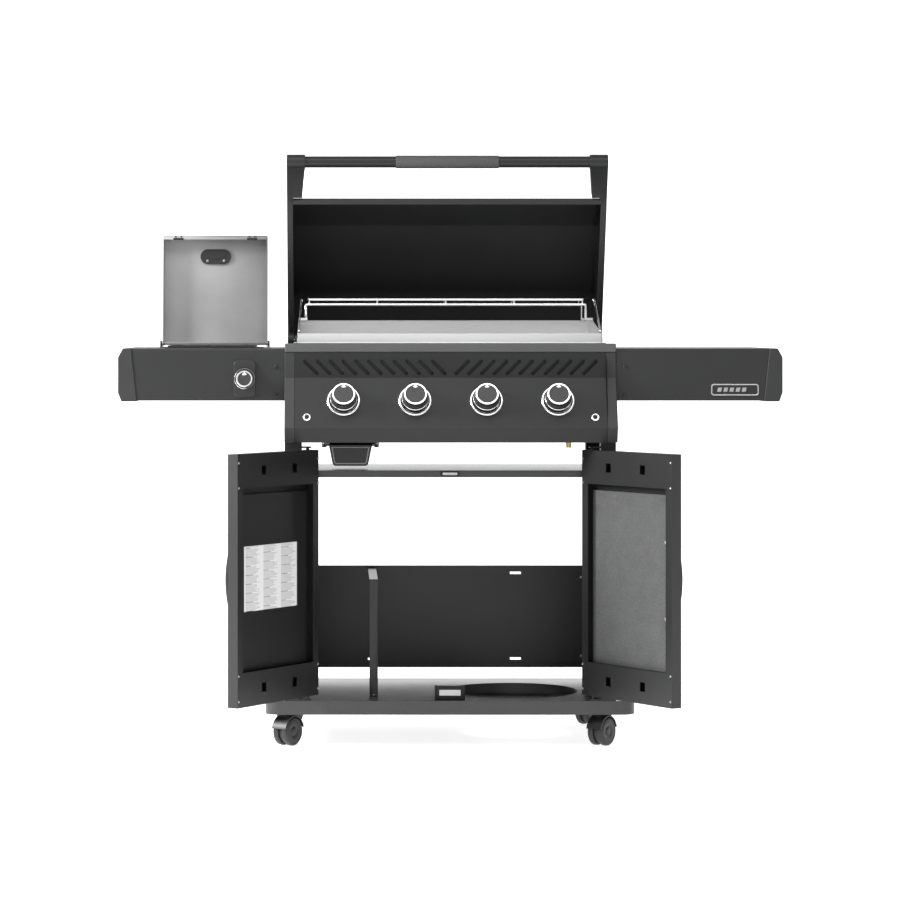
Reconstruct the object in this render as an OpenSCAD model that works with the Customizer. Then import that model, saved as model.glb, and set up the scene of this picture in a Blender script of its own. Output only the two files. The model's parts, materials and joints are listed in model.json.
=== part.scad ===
// Gas barbecue grill on a cabinet cart, standing open: lid up, side lid up and doors swung out.
// +Z is up, the front faces -Y and +X is to the right of someone standing in front of it.
// The origin is on the floor, under the middle of the part as it stands open.

/* [Overall] */
// Width over the outer ends of both side shelves
overall_w = 1625; // [1500:5:1960]
// Width of the hearth over its end castings
hearth_w = 810; // [670:2:980]
// Height of the hearth rim above the floor
hearth_z = 986; // [930:2:1190]
// Depth of the firebox from front face to rear face
firebox_d = 487; // [405:1:590]
// Front face of the firebox, from the origin
hearth_y = -135; // [-200:1:-100]

/* [Lid] */
// How far the lid stands open
lid_open = 64; // [50:1:66]
// Width of each lid end casting
lid_end_w = 15; // [12:1:18]
// Outer radius of the lid handle tube
handle_r = 14.5; // [11:0.5:16]
// Reach of the handle in front of the lid lip
handle_reach = 95; // [75:1:115]
// Length of the soft grip on the handle
grip_len = 258; // [150:2:400]
// Radius of the lid's pivot bolts
pivot_r = 5; // [4:0.5:8]

/* [Control panel] */
// Number of main burner knobs
knob_n = 4; // [4:1:4]
// Spacing of the main knobs
knob_pitch = 174; // [140:2:200]
// Radius of a knob's grip
knob_r = 28; // [22:1:34]
// How far a knob can be pushed in
knob_push = 3; // [2:0.5:4]
// Radius of the valve stems
stem_r = 4; // [3:0.5:5]
// Spacing of the vent slots
slot_pitch = 31.2; // [26:0.2:32]
// Width of a vent slot
slot_w = 9; // [7:0.5:11]

/* [Side shelves] */
// Depth of a side shelf's apron
apron_h = 128; // [106:1:150]
// Front-to-back size of a side shelf
shelf_d = 520; // [434:1:600]
// Width of the side burner's lid
side_lid_w = 267; // [222:1:300]
// Front-to-back size of the side burner's lid
side_lid_d = 278; // [232:1:320]
// Depth of the side burner's lid
side_lid_h = 45; // [38:1:54]
// Radius of the side burner's knob
side_knob_r = 20; // [17:1:24]
// How far the side burner's lid stands open
side_lid_open = 95; // [91:1:100]

/* [Cart] */
// Depth of the base shelf from front to back
base_d = 540; // [500:2:640]
// Height of the base shelf's skirt
base_h = 34; // [30:1:41]
// Radius of the gas cylinder's well
well_r = 160; // [134:1:164]
// Width of each corner post
post_w = 37; // [31:1:44]
// Thickness of a cabinet door
door_t = 28; // [24:1:33]
// How far a door handle bows out from its door
grip_bow = 24; // [20:1:28]
// How far the doors stand open
door_open = 121.5; // [90:0.5:124]
// Radius of the door hinge pins
door_pin_r = 4; // [3:0.5:5]

/* [Casters] */
// Radius of a caster wheel
wheel_r = 35; // [29:1:42]
// Width of one tread of the twin wheel
tread_w = 16; // [13:1:19]
// Distance from swivel axis to wheel axle
trail = 22; // [18:1:26]
// Direction the casters have swung to
caster_turn = -35.5; // [-180:0.5:180]

/* [Sheet and fits] */
// Sheet thickness of panels and shelves
sheet = 2; // [1.7:0.1:2.4]
// Radial running clearance of a pin in its hole
run_gap = 0.05; // [0.03:0.01:0.08]
// Gap between pieces that move past each other
move_gap = 2; // [1.5:0.5:3]

/* [Hidden] */
$fn = 64;

// Widths, all measured from the middle plane.
half_w = hearth_w / 2;
shelf_in = half_w;
shelf_out = overall_w / 2;
post_in = half_w - post_w;
fire_w = half_w - 21;
lid_w = half_w - move_gap;
lid_in = lid_w - lid_end_w;
face_w = half_w - 25;

// Depths: the firebox's front and rear faces place everything else.
fire_rear = hearth_y + firebox_d;
front_y = hearth_y - 23;
base_rear = front_y + base_d;
post_rear = fire_rear + 30;
post_t = 40;

// Heights, from the hearth rim down and from the floor up.
rim_z = hearth_z - 21;
panel_z = hearth_z - 241;
ledge_z = hearth_z - 146;
fire_floor = hearth_z - 226;
shelf_z = hearth_z - 12;
caster_h = 2 * wheel_r + 8;
base_z = caster_h + base_h;
shield_z = panel_z - 71;

// Cast walls, cabinet doors and their hinge pins.
wall = 4;
door_gap = 5;
door_tail = 14;
door_front = 5;
door_w = post_in - door_gap - move_gap / 2;
pin_x = post_in - door_gap - door_tail;
pin_y = front_y + door_front;
door_z0 = base_z + 15;
door_z1 = panel_z - 19;
pin_bite = 12;
strip_h = 82;

// Outline of the control panel's sheet, as Y and Z.
panel_top = [hearth_y - 25, rim_z];
panel_bend = [hearth_y - 31, rim_z - 63];
panel_low = [hearth_y - 90, rim_z - 184];
panel_foot = [hearth_y - 73, panel_z];
band_dir = (panel_low - panel_bend) / norm(panel_low - panel_bend);
band_tilt = atan2(-band_dir[0], -band_dir[1]);
knob_mid = panel_bend + band_dir * 61;
bezel_t = 4;
bezel_r = 41;
knob_gap = 6;
knob_len = 30;
stem_out = bezel_t + knob_gap + 20;
valve_r = 12;
valve_len = 38;
pipe_y = hearth_y - 23;
pipe_z = hearth_z - 180;
pipe_r = 9;
inlet_x = half_w - 116;
inlet_r = 6;
inlet_len = 12;

// Burners run front to back through the lower firebox.
burner_z = ledge_z - 15;
burner_r = 12;
low_w = fire_w - 24;
low_front = hearth_y + 22;
low_rear = fire_rear - 20;
drain_x = -(half_w - 161);
drain_y = hearth_y + 112;
drain_r = 20;

// Lid: pivot, and the outline of the closed lid's outside from hem to rear edge.
pivot = [fire_rear - 95, hearth_z + 6];
lip = [hearth_y, hearth_z + 20];
hem = 16;
front_lean = 27;
lid_path = [
    lip + hem * [cos(front_lean), -sin(front_lean)],
    lip,
    lip + [68, 134],
    lip + [160, 194],
    [pivot[0] - 10, lip[1] + 224],
    [pivot[0] + 82, lip[1] + 148],
    [pivot[0] + 108, lip[1] + 56]];
lid_round = [0, 6, 24, 24, 60, 50, 0];
handle_c = lip + [-handle_reach, 10];
cap_len = 46;
cap_r = 19;
lug_r = 22;

// Griddle tray and warming rack.
tray_w = fire_w - 10;
tray_front = hearth_y + 24;
tray_rear = fire_rear - wall;
tray_lip_z = hearth_z + 24;
tray_top = hearth_z + 57;
tray_floor = hearth_z - 31;
rack_z = hearth_z + 110;
rack_front = fire_rear - 165;
rack_rear = fire_rear - 30;
wire_r = 3;

// Side shelves: the end cap meets the shelf along a sloped seam.
seam_top = 32;
seam_low = 46;
apron_z = shelf_z - apron_h;
shelf_rear = front_y + shelf_d;
side_x = -(shelf_in + shelf_out) / 2 + 21;
side_hinge = [front_y + 355, shelf_z + 8];
side_pin_r = 3;
side_mid_y = side_hinge[0] - side_lid_d / 2;
side_pan = 226;
side_lip = 12;
side_knob_x = side_x + 85;
side_knob_z = shelf_z - 74;

// Grease box under the firebox floor.
grease_w = 106;
grease_top = panel_z - 8;
grease_h = 52;
grease_d = 160;
grease_y = hearth_y + 11;
grease_flange = 14;

// Caster places.
caster_x = half_w - 20;
caster_front_y = front_y + 50;
caster_rear_y = base_rear - 50;
caster_stem_r = 5.5;
axle_r = 4;
axle_half = tread_w - 2;

// Points of a path whose corners are rounded by the radii in rs.
function corner(a, b, c, r, n = 6) =
    let (u = (a - b) / norm(a - b),
        v = (c - b) / norm(c - b),
        half = acos(max(-1, min(1, u * v))) / 2,
        reach = r / tan(half),
        mid = b + (u + v) / norm(u + v) * r / sin(half),
        from = b + u * reach - mid,
        to = b + v * reach - mid,
        start = atan2(from[1], from[0]),
        turn = (atan2(to[1], to[0]) - start + 540) % 360 - 180)
    [for (i = [0:n]) mid + r * [cos(start + turn * i / n), sin(start + turn * i / n)]];

function rounded(path, rs) = [for (i = [0:len(path) - 1])
    each (rs[i] == 0 ? [path[i]] : corner(path[i - 1], path[i], path[i + 1], rs[i]))];

// The left-hand normal of a path's segment, and the path moved sideways by t.
function side_of(a, b) = [a[1] - b[1], b[0] - a[0]] / norm(b - a);

function moved(path, t) = [for (i = [0:len(path) - 1])
    let (before = i > 0 ? side_of(path[i - 1], path[i]) : side_of(path[i], path[i + 1]),
        after = i < len(path) - 1 ? side_of(path[i], path[i + 1]) : before)
    path[i] + (before + after) * t / (1 + before * after)];

function backwards(path) = [for (i = [len(path) - 1:-1:0]) path[i]];

// Burner positions across the hearth.
function knob_x(i) = (i - (knob_n - 1) / 2) * knob_pitch;

module block(x0, x1, y0, y1, z0, z1) {
    translate([x0, y0, z0]) cube([x1 - x0, y1 - y0, z1 - z0]);
}

// An outline given as Y and Z, extruded along X.
module along_x(x0, x1) {
    translate([x0, 0, 0]) rotate([90, 0, 90]) linear_extrude(x1 - x0) children();
}

// An outline given as X and Z, extruded along Y.
module along_y(y0, y1) {
    translate([0, y1, 0]) rotate([90, 0, 0]) linear_extrude(y1 - y0) children();
}

module rod_x(x0, x1, y, z, r) {
    translate([x0, y, z]) rotate([0, 90, 0]) cylinder(h = x1 - x0, r = r);
}

module rod_y(y0, y1, x, z, r) {
    translate([x, y1, z]) rotate([90, 0, 0]) cylinder(h = y1 - y0, r = r);
}

module rod_z(z0, z1, x, y, r) {
    translate([x, y, z0]) cylinder(h = z1 - z0, r = r);
}

// A flat plate with rounded corners, given by its two corners in XY.
module round_plate(x0, x1, y0, y1, z0, z1, r) {
    block(x0 + r, x1 - r, y0, y1, z0, z1);
    block(x0, x1, y0 + r, y1 - r, z0, z1);
    for (x = [x0 + r, x1 - r], y = [y0 + r, y1 - r]) rod_z(z0, z1, x, y, r);
}

// ---- Cart ----

module caster_places() {
    for (x = [-caster_x, caster_x], y = [caster_front_y, caster_rear_y])
        translate([x, y, 0]) children();
}

module base_shelf() {
    over = 48;
    boss_r = 16;
    skirt = 3;
    well = [half_w - 242, hearth_y + 222];
    color([0.30, 0.30, 0.31]) difference() {
        union() {
            difference() {
                round_plate(-half_w - over, half_w + over, front_y, base_rear,
                    caster_h, base_z, 35);
                round_plate(-half_w - over + skirt, half_w + over - skirt, front_y + skirt,
                    base_rear - skirt, caster_h - 1, base_z - skirt, 32);
            }
            rod_z(caster_h + 3, base_z, well[0], well[1], well_r + skirt);
            caster_places() translate([0, 0, caster_h]) cylinder(h = base_h - 1, r = boss_r);
        }
        rod_z(caster_h + 6, base_z + 1, well[0], well[1], well_r);
        rod_z(caster_h - 1, base_z, well[0], well[1], well_r - 45);
        caster_places() translate([0, 0, caster_h - 1])
            cylinder(h = base_h - 5, r = caster_stem_r + run_gap);
    }
}

// The right-hand side panel; the left one is its mirror image.
module side_panel() {
    tab = 4;
    color([0.27, 0.27, 0.28]) {
        block(half_w - 3, half_w, front_y, post_rear, base_z, panel_z - move_gap);
        block(half_w - 3, half_w, hearth_y, post_rear, panel_z - 5, ledge_z);
        block(post_in, half_w, front_y, front_y + 3, base_z, panel_z - move_gap);
        block(post_in, post_in + 3, front_y, front_y + post_t, base_z, panel_z - move_gap);
        block(post_in, half_w, post_rear - 3, post_rear, base_z, ledge_z);
        block(post_in, post_in + 3, post_rear - post_t, post_rear, base_z, ledge_z);
        block(post_in, half_w, front_y + post_t - 1, post_rear, ledge_z - 3, ledge_z);
        block(fire_w, half_w, hearth_y, hearth_y + 20, panel_z - 5, hearth_z - 46);
        block(fire_w, half_w, fire_rear - 10, fire_rear + 10, ledge_z - 3, ledge_z + 50);
        block(pin_x - 9, post_in, front_y, front_y + 16, door_z1 + 4, door_z1 + 4 + tab);
        rod_z(door_z1 - pin_bite, door_z1 + 4, pin_x, pin_y, door_pin_r);
        block(pin_x - 9, post_in, front_y, front_y + 16, base_z, base_z + tab);
        rod_z(base_z, door_z0 + pin_bite, pin_x, pin_y, door_pin_r);
    }
}

module side_panel_left() {
    mirror([1, 0, 0]) side_panel();
}

module side_panel_right() {
    side_panel();
}

module rear_panel() {
    rear_y = fire_rear;
    z0 = base_z + 31;
    z1 = z0 + 264;
    slot_x = half_w - 219;
    color([0.22, 0.22, 0.23]) difference() {
        union() {
            block(-post_in, post_in, rear_y, rear_y + sheet, z0, z1);
            block(-post_in, post_in, rear_y, rear_y + 12, z1 - sheet, z1);
            block(-post_in, post_in, rear_y, rear_y + 12, z0, z0 + sheet);
        }
        for (z = [z0 + 20, z1 - 22])
            block(slot_x - 14, slot_x + 14, rear_y - 1, rear_y + sheet + 1, z, z + 6);
        rod_y(rear_y - 1, rear_y + sheet + 1, -(half_w - 211), z0 + 22, 3);
    }
}

module heat_shield() {
    shield_y = front_y + 34;
    flange = 17;
    depth = firebox_d - 91;
    color([0.45, 0.45, 0.46]) {
        block(-post_in, post_in, shield_y, shield_y + sheet, shield_z - flange, shield_z);
        block(-post_in, post_in, shield_y, front_y + post_t, shield_z - sheet, shield_z);
        block(-half_w + 3, half_w - 3, front_y + post_t, shield_y + depth,
            shield_z - sheet, shield_z);
        block(-half_w + 3, half_w - 3, shield_y + depth - sheet, shield_y + depth,
            shield_z - flange, shield_z);
    }
}

module tank_strap() {
    strap_x = -(half_w - 219);
    strap_w = 21;
    strap_t = 3;
    strap_y = hearth_y + 102;
    strap_z = base_z + 288;
    color([0.10, 0.10, 0.10]) {
        block(strap_x - strap_w / 2, strap_x + strap_w / 2, strap_y - 28, strap_y + strap_t,
            base_z, base_z + strap_t);
        block(strap_x - strap_w / 2, strap_x + strap_w / 2, strap_y, strap_y + strap_t,
            base_z, strap_z);
        block(strap_x - strap_w / 2, strap_x + strap_w / 2, strap_y, fire_rear,
            strap_z - strap_t, strap_z);
    }
}

module magnet_catches() {
    back_y = front_y + door_t + 0.5;
    color([0.08, 0.08, 0.08]) {
        block(-23, 23, back_y, front_y + 34, shield_z - 13, shield_z - 3);
        difference() {
            block(-37, 37, back_y, back_y + 22, base_z, base_z + 34);
            block(-31, 31, back_y + 6, back_y + 23, base_z + 6, base_z + 35);
        }
    }
}

// ---- Hearth ----

module firebox() {
    ear_r = 20;
    web_in = grease_w / 2 + grease_flange + 2;
    color([0.13, 0.13, 0.13]) difference() {
        union() {
            block(-fire_w, fire_w, hearth_y, fire_rear, ledge_z, hearth_z);
            block(-low_w, low_w, low_front, low_rear, fire_floor, ledge_z + 1);
            for (x = [-fire_w, fire_w - wall]) {
                rod_x(x, x + wall, pivot[0], pivot[1], ear_r);
                block(x, x + wall, pivot[0] - ear_r, pivot[0] + ear_r, hearth_z - 1, pivot[1]);
            }
            rod_z(panel_z - 3, fire_floor + 1, drain_x, drain_y, drain_r + wall);
            for (s = [-1, 1]) translate([drain_x, 0, 0]) {
                block(s * web_in - 1, s * web_in + 1, low_front + 4, grease_y + grease_d,
                    grease_top - 7, fire_floor + 1);
                block(min(s * web_in, s * (web_in - 10)), max(s * web_in, s * (web_in - 10)),
                    low_front + 4, grease_y + grease_d, grease_top - 7, grease_top - 4);
            }
        }
        block(-fire_w + wall, fire_w - wall, hearth_y + wall, fire_rear - wall,
            ledge_z + wall, hearth_z + 100);
        block(-low_w + wall, low_w - wall, low_front + wall, low_rear - wall,
            fire_floor + wall, ledge_z + wall + 1);
        rod_z(panel_z - 4, fire_floor + wall + 1, drain_x, drain_y, drain_r);
        for (i = [0:knob_n - 1]) rod_y(low_front - 1, low_front + wall + 1, knob_x(i),
            burner_z, burner_r);
        rod_x(-fire_w - 1, fire_w + 1, pivot[0], pivot[1], pivot_r);
    }
}

module front_rim() {
    color([0.42, 0.42, 0.43]) difference() {
        block(-half_w, half_w, hearth_y - 28, hearth_y, rim_z, hearth_z);
        block(-half_w + 3, half_w - 3, hearth_y - 25, hearth_y - 3, rim_z + 3, hearth_z - 3);
    }
}

function panel_path() = [[hearth_y, rim_z], panel_top, panel_bend, panel_low, panel_foot,
    [panel_foot[0] + 35, panel_z]];

// Where knob i's axis meets the panel's face, with +Z along the axis.
module on_knob(i) {
    translate([knob_x(i), knob_mid[0], knob_mid[1]]) rotate([90 - band_tilt, 0, 0]) children();
}

module vent_slots() {
    reach = 41;
    mid_z = (panel_top[1] + panel_bend[1]) / 2 - 6;
    for (s = [-1, 1], i = [0:10]) {
        translate([s * (28.7 + slot_pitch * i), panel_bend[0], mid_z]) rotate([0, s * 45, 0]) {
            block(-slot_w / 2, slot_w / 2, -12, 30, -reach / 2, reach / 2);
            for (z = [-reach / 2, reach / 2]) rod_y(-12, 30, 0, z, slot_w / 2);
        }
    }
}

module control_panel() {
    color([0.23, 0.23, 0.24]) difference() {
        along_x(-face_w, face_w) polygon(concat(panel_path(),
            backwards(moved(panel_path(), sheet))));
        vent_slots();
        for (i = [0:knob_n - 1]) on_knob(i) translate([0, 0, -10])
            cylinder(h = 20, r = stem_r + 4);
    }
}

module end_cap() {
    outline = panel_path();
    closed = concat(outline, [[hearth_y, panel_z]]);
    color([0.30, 0.30, 0.31]) difference() {
        along_x(face_w, half_w) polygon(closed);
        along_x(face_w - 1, half_w - 4) polygon(concat(
            [for (p = moved(outline, 3)) [min(p[0], hearth_y - 3), max(p[1], panel_z + 3)]],
            [[hearth_y - 3, panel_z + 3]]));
    }
}

module end_cap_left() {
    mirror([1, 0, 0]) end_cap();
}

module end_cap_right() {
    end_cap();
}

module knob_bezels() {
    color([0.80, 0.80, 0.82]) for (i = [0:knob_n - 1]) on_knob(i) difference() {
        cylinder(h = bezel_t, r = bezel_r);
        translate([0, 0, 1.5]) cylinder(h = bezel_t, r = bezel_r - 5);
        translate([0, 0, -1]) cylinder(h = bezel_t + 2, r = stem_r + 4);
    }
}

module gas_manifold() {
    color([0.60, 0.58, 0.50]) difference() {
        union() {
            rod_x(-half_w + 75, half_w - 100, pipe_y, pipe_z, pipe_r);
            rod_z(panel_z - 2, pipe_z, inlet_x, pipe_y, 8);
            rod_z(panel_z - 2 - inlet_len, panel_z - 1, inlet_x, pipe_y, inlet_r);
            for (i = [0:knob_n - 1]) {
                on_knob(i) translate([0, 0, -valve_len]) cylinder(h = valve_len - sheet,
                    r = valve_r);
                rod_z(pipe_z, burner_z + 6, knob_x(i), pipe_y, 6);
                rod_y(pipe_y, hearth_y, knob_x(i), burner_z, 5);
            }
        }
        for (i = [0:knob_n - 1]) on_knob(i) translate([0, 0, -30])
            cylinder(h = 40, r = stem_r + run_gap);
    }
}

module burners() {
    color([0.70, 0.70, 0.71]) for (i = [0:knob_n - 1]) difference() {
        rod_y(hearth_y, low_rear - 20, knob_x(i), burner_z, burner_r);
        rod_y(hearth_y + 3, low_rear - 23, knob_x(i), burner_z, burner_r - 2);
    }
}

module heat_tents() {
    spread = 60;
    rise = 35;
    z0 = ledge_z + wall;
    color([0.50, 0.50, 0.50]) for (i = [0:knob_n - 1]) translate([knob_x(i), 0, 0])
        along_y(hearth_y + wall, fire_rear - wall) polygon([[-spread, z0], [0, z0 + rise],
            [spread, z0], [spread, z0 + 3], [0, z0 + rise + 3], [-spread, z0 + 3]]);
}

module griddle() {
    t = 2;
    flat_y = rack_front - 12;
    side = [[tray_front, tray_floor], [tray_rear, tray_floor], [tray_rear, tray_top],
        [flat_y, tray_top], [tray_front, tray_lip_z]];
    color([0.78, 0.78, 0.79]) {
        difference() {
            along_x(-tray_w, tray_w) polygon(side);
            block(-tray_w + t, tray_w - t, tray_front + t, tray_rear - t, tray_floor + 3,
                tray_top + 1);
            rod_z(tray_floor - 1, tray_floor + 4, drain_x, drain_y, drain_r);
        }
        block(-tray_w, tray_w, hearth_y, tray_front + 1, hearth_z, hearth_z + t);
        for (s = [-1, 1]) block(min(s * (tray_w - 1), s * fire_w),
            max(s * (tray_w - 1), s * fire_w), tray_front, pivot[0] - 40, hearth_z,
            hearth_z + t);
    }
}

module warming_rack() {
    half = tray_w - 26;
    low = half + 8;
    low_z = rack_z - 13;
    cross_n = 9;
    color([0.85, 0.85, 0.86]) {
        for (y = [rack_front, rack_rear]) {
            rod_x(-half, half, y, rack_z, wire_r);
            rod_x(-low, low, y, low_z, wire_r);
            for (i = [-2:2]) rod_z(low_z, rack_z, i * half / 2, y, 2);
        }
        for (x = [-half, half]) rod_y(rack_front, rack_rear, x, rack_z, wire_r);
        for (i = [1:cross_n]) rod_x(-half, half,
            rack_front + i * (rack_rear - rack_front) / (cross_n + 1), rack_z, 2);
        for (i = [-1:1]) rod_y(rack_front, rack_rear, i * half / 2, rack_z - 4, 2.5);
        for (s = [-1, 1], y = [rack_front, rack_rear]) {
            rod_z(tray_top + 1, low_z, s * low, y, wire_r);
            block(min(s * (low - 3), s * tray_w), max(s * (low - 3), s * tray_w), y - 4, y + 4,
                tray_top, tray_top + 6);
        }
    }
}

module lid_pivots() {
    head = 4;
    color([0.75, 0.75, 0.76]) for (s = [-1, 1]) {
        rod_x(min(s * (fire_w - wall), s * (lid_w - 1)), max(s * (fire_w - wall), s * (lid_w - 1)),
            pivot[0], pivot[1], pivot_r);
        rod_x(min(s * (fire_w - wall), s * (fire_w - wall - head)),
            max(s * (fire_w - wall), s * (fire_w - wall - head)), pivot[0], pivot[1], 9);
    }
}

// ---- Side shelves ----

// The right-hand shelf's XZ outline, drawn in by t on every side but the sloped seam.
module shelf_outline(t, drop) {
    polygon([[shelf_in + t, apron_z - drop], [shelf_out - seam_low - t, apron_z - drop],
        [shelf_out - seam_top - t, shelf_z - t], [shelf_in + t, shelf_z - t]]);
}

module shelf() {
    difference() {
        along_y(front_y, shelf_rear) shelf_outline(0, 0);
        along_y(front_y + sheet, shelf_rear - sheet) shelf_outline(sheet, 1);
    }
}

module shelf_cap() {
    wide = 2;
    outer = [[shelf_out - seam_low, apron_z - wide], [shelf_out - 8, apron_z - wide],
        [shelf_out, apron_z + 20], [shelf_out, shelf_z - 22], [shelf_out - 12, shelf_z],
        [shelf_out - seam_top, shelf_z]];
    inner = [[shelf_out - seam_low + 3, apron_z - wide - 1], [shelf_out - 11, apron_z - wide - 1],
        [shelf_out - 3, apron_z + 21], [shelf_out - 3, shelf_z - 23],
        [shelf_out - 13.5, shelf_z - 3], [shelf_out - seam_top + 3, shelf_z - 3]];
    color([0.29, 0.29, 0.30]) difference() {
        along_y(front_y - wide, shelf_rear + wide) polygon(outer);
        along_y(front_y - wide + 3, shelf_rear + wide - 3) polygon(inner);
    }
}

module shelf_left() {
    ear = 5;
    color([0.27, 0.27, 0.28]) difference() {
        union() {
            mirror([1, 0, 0]) shelf();
            for (s = [-1, 1]) translate([side_x + s * (side_lid_w / 2 + 1 + ear / 2), 0, 0]) {
                block(-ear / 2, ear / 2, side_hinge[0] - 9, side_hinge[0] + 9, shelf_z - 1,
                    side_hinge[1]);
                rod_x(-ear / 2, ear / 2, side_hinge[0], side_hinge[1], 9);
                rod_x(min(0, -s * 9), max(0, -s * 9), side_hinge[0], side_hinge[1], side_pin_r);
            }
        }
        block(side_x - side_pan / 2, side_x + side_pan / 2, side_mid_y - side_pan / 2,
            side_mid_y + side_pan / 2, shelf_z - 10, shelf_z + 1);
        rod_y(front_y - 1, front_y + sheet + 1, side_knob_x, side_knob_z, valve_r);
    }
}

module shelf_left_cap() {
    mirror([1, 0, 0]) shelf_cap();
}

module shelf_right() {
    color([0.27, 0.27, 0.28]) shelf();
}

module shelf_right_cap() {
    shelf_cap();
}

module side_burner() {
    depth = 44;
    t = 2;
    floor_z = shelf_z - depth;
    color([0.14, 0.14, 0.14]) {
        difference() {
            union() {
                translate([side_x, side_mid_y, 0]) {
                    block(-side_pan / 2 - side_lip, side_pan / 2 + side_lip,
                        -side_pan / 2 - side_lip, side_pan / 2 + side_lip, shelf_z, shelf_z + t);
                    block(-side_pan / 2, side_pan / 2, -side_pan / 2, side_pan / 2, floor_z,
                        shelf_z + 1);
                }
            }
            translate([side_x, side_mid_y, 0]) block(-side_pan / 2 + t, side_pan / 2 - t,
                -side_pan / 2 + t, side_pan / 2 - t, floor_z + t, shelf_z + t + 1);
        }
        translate([side_x, side_mid_y, 0]) {
            rod_z(floor_z + 1, floor_z + 20, 0, 0, 46);
            rod_z(floor_z + 19, floor_z + 27, 0, 0, 38);
        }
        rod_y(front_y + 50, side_mid_y - side_pan / 2 + 30, side_knob_x - 30, floor_z - 8, 8);
        block(side_knob_x - 38, side_knob_x - 22, side_mid_y - side_pan / 2 + 14,
            side_mid_y - side_pan / 2 + 30, floor_z - 8, floor_z + 1);
        block(side_knob_x - 38, side_knob_x + 6, front_y + 50, front_y + 62, side_knob_z - 6,
            floor_z - 2);
    }
}

module side_grate() {
    out = side_pan / 2 - 4;
    bar = 8;
    foot_z = shelf_z - 42;
    top_z = shelf_z + 6;
    color([0.12, 0.12, 0.12]) translate([side_x, side_mid_y, 0]) {
        difference() {
            block(-out, out, -out, out, top_z - bar, top_z);
            block(-out + bar, out - bar, -out + bar, out - bar, top_z - bar - 1, top_z + 1);
        }
        for (a = [0:45:315]) rotate([0, 0, a]) block(22, out - 2, -bar / 2, bar / 2,
            top_z - bar, top_z);
        for (x = [-out, out - bar], y = [-out, out - bar]) block(x, x + bar, y, y + bar, foot_z,
            top_z - 1);
    }
}

module side_valve() {
    plate_t = 4;
    plate_w = 54;
    plate_h = 90;
    r = 10;
    color([0.55, 0.55, 0.56]) difference() {
        union() {
            translate([side_knob_x, front_y, side_knob_z]) rotate([90, 0, 0])
                round_plate(-plate_w / 2, plate_w / 2, -plate_h / 2, plate_h / 2, 0, plate_t, r);
            rod_y(front_y - 1, front_y + 50, side_knob_x, side_knob_z, valve_r);
        }
        rod_y(front_y - plate_t - 1, front_y + 34, side_knob_x, side_knob_z,
            stem_r + run_gap);
    }
}

// ---- Lid ----

// Turns the closed lid about its pivot to where it stands open.
module opened(centre, angle) {
    translate([0, centre[0], centre[1]]) rotate([-angle, 0, 0])
        translate([0, -centre[0], -centre[1]]) children();
}

function lid_outline() = rounded(lid_path, lid_round);

module lid_skin() {
    outer = lid_outline();
    inner = rounded(moved(lid_path, -sheet), [for (r = lid_round) r == 0 ? 0 : r - sheet]);
    color([0.16, 0.16, 0.17]) opened(pivot, lid_open) along_x(-lid_in, lid_in)
        polygon(concat(outer, backwards(inner)));
}

module lid_end() {
    edge = 6;
    plate = 4;
    low = lip[1] - 4;
    shut = concat(lid_outline(), [[pivot[0] + 40, low]]);
    arm_half = 17;
    arm_foot = 38;
    arm = [handle_c + [0, -arm_half], handle_c + [0, arm_half], lip + [24, 46],
        lip + [40, 20], lip + [16, -4]];
    color([0.24, 0.24, 0.25]) opened(pivot, lid_open) difference() {
        union() {
            difference() {
                along_x(lid_in, lid_w) polygon(shut);
                along_x(lid_in - 1, lid_w - plate) polygon(concat(
                    rounded(moved([for (i = [1:len(lid_path) - 1]) lid_path[i]], -edge),
                        [0, 18, 18, 54, 44, 0]),
                    [[pivot[0] + 42, low + edge], [lip[0] + 14, low + edge]]));
            }
            along_x(lid_in, lid_w) polygon(arm);
            intersection() {
                along_x(lid_w - cap_len, lid_w) polygon(arm);
                translate([0, 0, low - 20]) linear_extrude(100) polygon([
                    [lid_w, handle_c[0]], [lid_w - cap_len, handle_c[0]],
                    [lid_w - arm_foot, lip[0] - 2], [lid_w, lip[0] - 2]]);
            }
            rod_x(lid_w - cap_len, lid_w, handle_c[0], handle_c[1], cap_r);
            rod_x(lid_in - 1, lid_w, pivot[0], pivot[1], lug_r);
            along_x(lid_w - plate, lid_w) polygon([[pivot[0] - lug_r, pivot[1]],
                [pivot[0] + lug_r, pivot[1]], [pivot[0] + 44, low + 4], [pivot[0] - 44, low + 4]]);
        }
        rod_x(lid_in - 2, lid_w + 1, pivot[0], pivot[1], pivot_r + run_gap);
        rod_x(fire_w - 50, fire_w + 1, pivot[0], pivot[1], lug_r + 1);
    }
}

module lid_end_left() {
    mirror([1, 0, 0]) lid_end();
}

module lid_end_right() {
    lid_end();
}

module lid_handle() {
    color([0.20, 0.20, 0.21]) opened(pivot, lid_open)
        rod_x(-lid_w + cap_len, lid_w - cap_len, handle_c[0], handle_c[1], handle_r);
}

module lid_grip() {
    color([0.38, 0.38, 0.39]) opened(pivot, lid_open) difference() {
        rod_x(-grip_len / 2, grip_len / 2, handle_c[0], handle_c[1], handle_r + 2);
        rod_x(-grip_len / 2 - 1, grip_len / 2 + 1, handle_c[0], handle_c[1], handle_r);
    }
}

module lid_gauge() {
    low = lid_path[2];
    high = lid_path[3];
    mid = (low + high) / 2;
    lean = atan2(high[0] - low[0], high[1] - low[1]);
    color([0.70, 0.70, 0.71]) opened(pivot, lid_open)
        translate([0, mid[0], mid[1]]) rotate([90 - lean, 0, 0]) {
            cylinder(h = 14, r = 34);
            translate([0, 0, 13]) difference() {
                cylinder(h = 4, r = 38);
                translate([0, 0, 1]) cylinder(h = 4, r = 33);
            }
        }
}

// ---- Side burner's lid ----

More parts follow.
